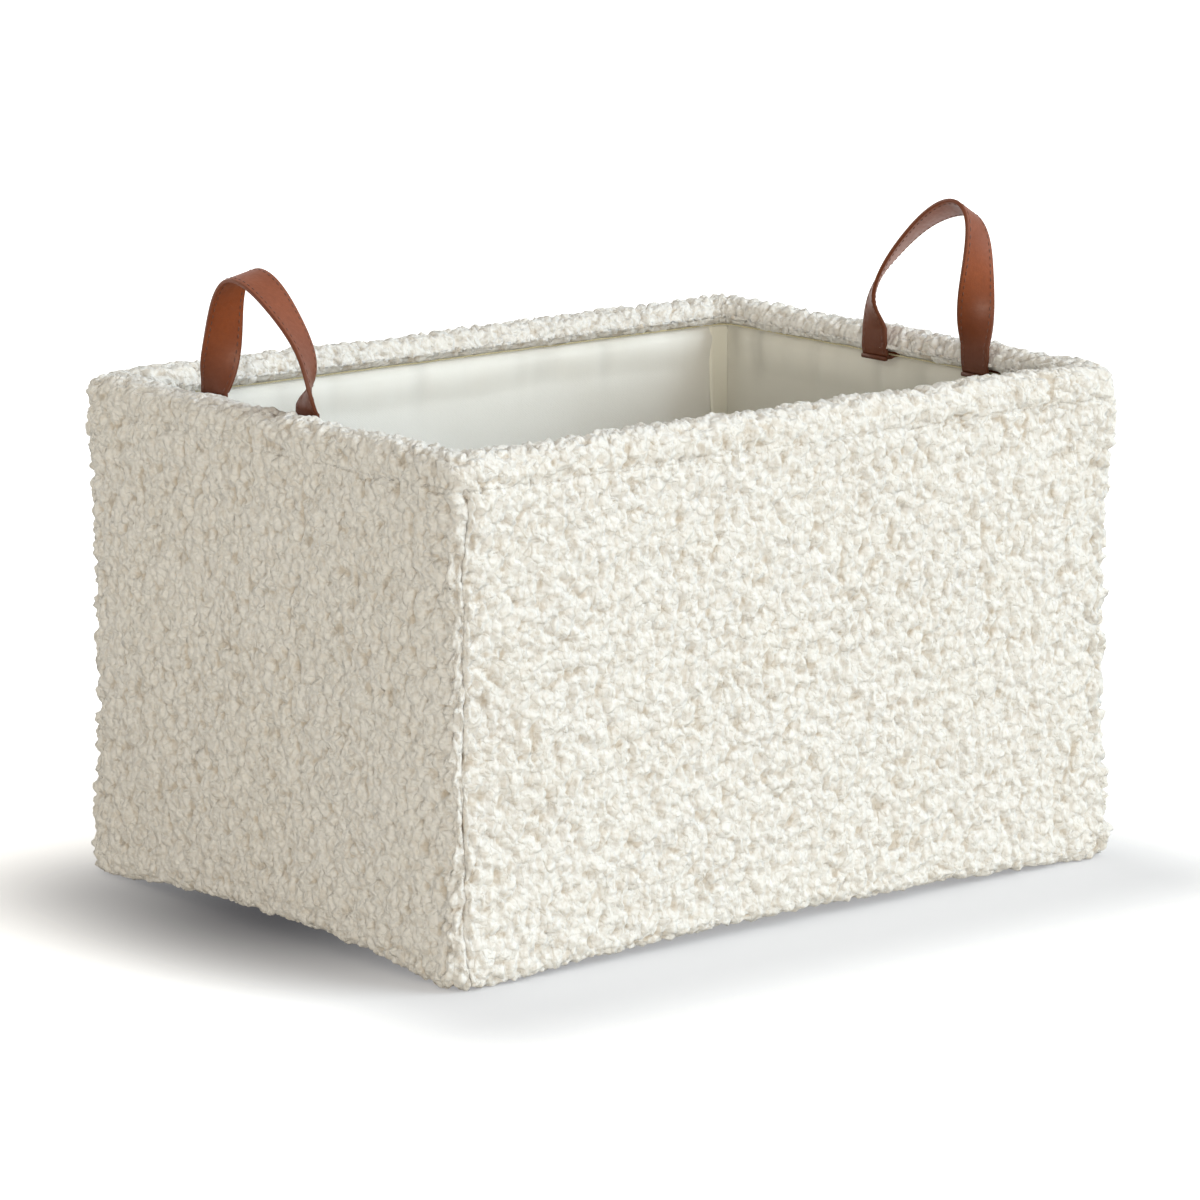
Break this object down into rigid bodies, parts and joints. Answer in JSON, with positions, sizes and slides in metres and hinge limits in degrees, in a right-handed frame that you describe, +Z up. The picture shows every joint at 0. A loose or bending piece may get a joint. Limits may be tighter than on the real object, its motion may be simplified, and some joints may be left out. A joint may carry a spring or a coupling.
{
  "type": "fabric storage bin",
  "caption": "Open rectangular storage bin: pale sherpa fleece over board, cotton lining, and a tan strap handle standing up inside each short wall.",
  "frame": {"origin": "middle of the underside, on the surface that the bin stands on", "axes": "+X along the long walls, +Y from the front long wall to the back one, +Z up through the open top"},
  "size_m": [0.42, 0.304, 0.3265],
  "materials": {
    "sherpa": "deep curly pile, matt",
    "rim_sherpa": "deep curly pile, matt, folded over the rim",
    "board": "unfinished grey pulp board, sealed inside the walls",
    "lining": "plain woven cotton, matt",
    "binding_tape": "folded twill tape, matt",
    "strap": "smooth tan leather-look strap, satin, edge stitched"
  },
  "bodies": {
    "bin": {"base_tape": "binding_tape", "board_back": "board", "board_base": "board", "board_front": "board", "board_left": "board", "board_right": "board", "corner_tape_back_left": "binding_tape", "corner_tape_back_right": "binding_tape", "corner_tape_front_left": "binding_tape", "corner_tape_front_right": "binding_tape", "left_handle_tails": "strap", "lining_back": "lining", "lining_base": "lining", "lining_front": "lining", "lining_left": "lining", "lining_right": "lining", "outer_back": "sherpa", "outer_base": "sherpa", "outer_front": "sherpa", "outer_left": "sherpa", "outer_right": "sherpa", "right_handle_tails": "strap", "rim_band": "rim_sherpa"},
    "left_handle_foot": {"left_handle_feet": "strap"},
    "left_handle_top": {"left_handle_loop": "strap"},
    "right_handle_foot": {"right_handle_feet": "strap"},
    "right_handle_top": {"right_handle_loop": "strap"}
  },
  "joints": [
    {"name": "left_handle_fold_in", "type": "hinge", "parent": "bin", "child": "left_handle_foot", "pos_m": [-0.1856, 0, 0.2385], "axis": [0, 1, 0], "range_deg": [0, 165]},
    {"name": "left_handle_fold_out", "type": "hinge", "parent": "left_handle_foot", "child": "left_handle_top", "pos_m": [-0.1878, 0, 0.2526], "axis": [0, -1, 0], "range_deg": [0, 55]},
    {"name": "right_handle_fold_in", "type": "hinge", "parent": "bin", "child": "right_handle_foot", "pos_m": [0.1856, 0, 0.2385], "axis": [0, -1, 0], "range_deg": [0, 165]},
    {"name": "right_handle_fold_out", "type": "hinge", "parent": "right_handle_foot", "child": "right_handle_top", "pos_m": [0.1878, 0, 0.2526], "axis": [0, 1, 0], "range_deg": [0, 55]}
  ]
}
